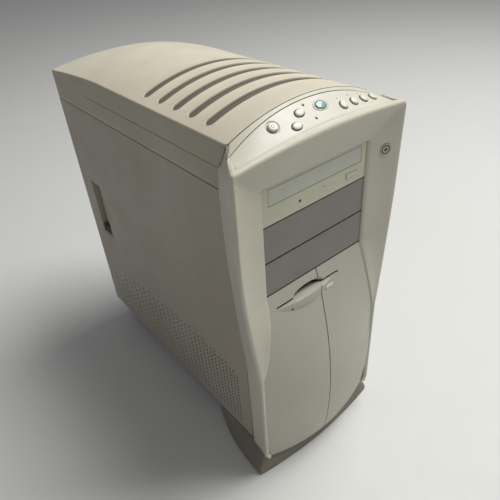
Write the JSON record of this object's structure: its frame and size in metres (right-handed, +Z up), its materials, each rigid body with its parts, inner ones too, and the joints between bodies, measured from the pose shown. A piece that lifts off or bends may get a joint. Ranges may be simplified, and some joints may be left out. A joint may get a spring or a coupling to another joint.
{
  "type": "desktop computer tower",
  "caption": "Tall desktop computer case with arched grooved top, dished front bezel, drive bays, disc tray, control buttons and a flared foot, with its working parts inside.",
  "frame": {"origin": "centre of the overall box at floor level, under the feet", "axes": "+Z up, -Y out of the front, +X to the right seen from the front"},
  "size_m": [0.224, 0.446, 0.48],
  "materials": {
    "cover_plastic": "fine moulded grain, slightly yellowed beige",
    "bezel_plastic": "fine moulded grain, pale grey beige",
    "button_plastic": "smooth off-white",
    "teal_plastic": "translucent teal",
    "lens_plastic": "dark lens",
    "badge": "printed round badge without words",
    "board": "green glass-fibre board",
    "panel_paint": "fine textured beige paint on steel sheet",
    "foot_plastic": "dark warm grey moulding",
    "rubber": "soft black rubber",
    "zinc": "zinc-plated steel sheet",
    "grey_cover": "mid grey moulding",
    "drive_plastic": "yellowed cream plastic",
    "tray_plastic": "pale grey plastic",
    "dark_plastic": "black moulding",
    "aluminium": "extruded or cast, bare",
    "supply_steel": "plain grey steel",
    "red_plastic": "red slider",
    "brass": "turned brass",
    "socket_plastic": "white connector plastic",
    "cable": "grey ribbon",
    "port_shell": "bright connector shells"
  },
  "bodies": {
    "case": {"top_cover": "cover_plastic", "front_bezel": "bezel_plastic", "lower_fascia": "bezel_plastic", "control_plate": "bezel_plastic", "status_lights": "lens_plastic", "switch_sheet": "board", "case_badge": "badge", "right_side_panel": "panel_paint", "pedestal": "foot_plastic", "rubber_feet": "rubber", "chassis_floor": "zinc", "chassis_top": "zinc", "rear_panel": "zinc", "front_frame": "zinc", "motherboard_tray": "zinc", "drive_cage": "zinc", "small_drive_cage": "zinc", "optical_drive_case": "zinc", "optical_drive_bezel": "drive_plastic", "upper_bay_cover": "grey_cover", "lower_bay_cover": "grey_cover", "floppy_drive_case": "zinc", "floppy_light": "lens_plastic", "hard_drive": "aluminium", "power_supply_case": "supply_steel", "power_supply_fan": "dark_plastic", "mains_inlet": "dark_plastic", "motherboard": "board", "standoffs": "brass", "processor": "socket_plastic", "heatsink": "aluminium", "cpu_fan_frame": "dark_plastic", "memory_modules": "board", "port_block": "port_shell", "port_plate": "zinc", "card_sockets": "socket_plastic", "graphics_card": "board", "modem_card": "board", "slot_covers": "zinc", "rear_fan": "dark_plastic", "speaker": "dark_plastic", "ribbon_cable": "cable"},
    "power_button_body": {"power_button": "button_plastic"},
    "email_button_body": {"email_button": "button_plastic"},
    "search_button_body": {"search_button": "button_plastic"},
    "internet_button_body": {"internet_button": "teal_plastic"},
    "play_button_body": {"play_button": "button_plastic"},
    "stop_button_body": {"stop_button": "button_plastic"},
    "back_button_body": {"back_button": "button_plastic"},
    "forward_button_body": {"forward_button": "button_plastic"},
    "left_panel": {"left_side_panel": "panel_paint", "panel_screws": "zinc"},
    "tray": {"disc_tray": "tray_plastic"},
    "tray_eject": {"tray_eject_button": "drive_plastic"},
    "floppy_door_body": {"floppy_door": "dark_plastic"},
    "floppy_eject": {"floppy_eject_button": "drive_plastic"},
    "supply_rotor": {"power_supply_rotor": "dark_plastic"},
    "voltage_slider": {"voltage_switch": "red_plastic"},
    "processor_rotor": {"cpu_fan_rotor": "dark_plastic"},
    "rear_rotor": {"rear_fan_rotor": "dark_plastic"}
  },
  "joints": [
    {"name": "power_button_press", "type": "slide", "parent": "case", "child": "power_button_body", "axis": [0.139, 0.5185, -0.8437], "range_m": [0, 0.0012], "stiffness_N_per_m": 400, "springref_m": -0.002},
    {"name": "email_button_press", "type": "slide", "parent": "case", "child": "email_button_body", "axis": [0.0461, 0.5939, -0.8032], "range_m": [0, 0.0012], "stiffness_N_per_m": 400, "springref_m": -0.002},
    {"name": "search_button_press", "type": "slide", "parent": "case", "child": "search_button_body", "axis": [0.0538, 0.5783, -0.814], "range_m": [0, 0.0012], "stiffness_N_per_m": 400, "springref_m": -0.002},
    {"name": "internet_button_press", "type": "slide", "parent": "case", "child": "internet_button_body", "axis": [-0.0227, 0.6012, -0.7988], "range_m": [0, 0.0012], "stiffness_N_per_m": 400, "springref_m": -0.002},
    {"name": "play_button_press", "type": "slide", "parent": "case", "child": "play_button_body", "axis": [-0.0719, 0.5671, -0.8205], "range_m": [0, 0.0012], "stiffness_N_per_m": 400, "springref_m": -0.002},
    {"name": "stop_button_press", "type": "slide", "parent": "case", "child": "stop_button_body", "axis": [-0.1148, 0.5198, -0.8466], "range_m": [0, 0.0012], "stiffness_N_per_m": 400, "springref_m": -0.002},
    {"name": "back_button_press", "type": "slide", "parent": "case", "child": "back_button_body", "axis": [-0.165, 0.4473, -0.879], "range_m": [0, 0.0012], "stiffness_N_per_m": 400, "springref_m": -0.002},
    {"name": "forward_button_press", "type": "slide", "parent": "case", "child": "forward_button_body", "axis": [-0.2281, 0.3404, -0.9122], "range_m": [0, 0.0012], "stiffness_N_per_m": 400, "springref_m": -0.002},
    {"name": "left_panel_slide", "type": "slide", "parent": "case", "child": "left_panel", "axis": [0, 1, 0], "range_m": [0, 0.02]},
    {"name": "tray_slide", "type": "slide", "parent": "case", "child": "tray", "axis": [0, -1, 0], "range_m": [0, 0.13]},
    {"name": "tray_eject_press", "type": "slide", "parent": "case", "child": "tray_eject", "axis": [0, 1, 0], "range_m": [0, 0.0007], "stiffness_N_per_m": 400, "springref_m": -0.002},
    {"name": "floppy_door_hinge", "type": "hinge", "parent": "case", "child": "floppy_door_body", "pos_m": [-0.0165, -0.1836, 0.2794], "axis": [1, 0, 0], "range_deg": [0, 80], "stiffness_Nm_per_rad": 0.01, "springref_deg": -20.05},
    {"name": "floppy_eject_press", "type": "slide", "parent": "case", "child": "floppy_eject", "axis": [0, 1, 0], "range_m": [0, 0.004], "stiffness_N_per_m": 300, "springref_m": -0.002},
    {"name": "supply_fan_spin", "type": "hinge", "parent": "case", "child": "supply_rotor", "pos_m": [-0.028, 0.203, 0.3758], "axis": [0, 1, 0], "continuous": true},
    {"name": "voltage_switch_slide", "type": "slide", "parent": "case", "child": "voltage_slider", "axis": [1, 0, 0], "range_m": [0, 0.008]},
    {"name": "processor_fan_spin", "type": "hinge", "parent": "case", "child": "processor_rotor", "pos_m": [0.0322, 0.1263, 0.2608], "axis": [1, 0, 0], "continuous": true},
    {"name": "rear_fan_spin", "type": "hinge", "parent": "case", "child": "rear_rotor", "pos_m": [-0.036, 0.203, 0.2353], "axis": [0, 1, 0], "continuous": true}
  ]
}
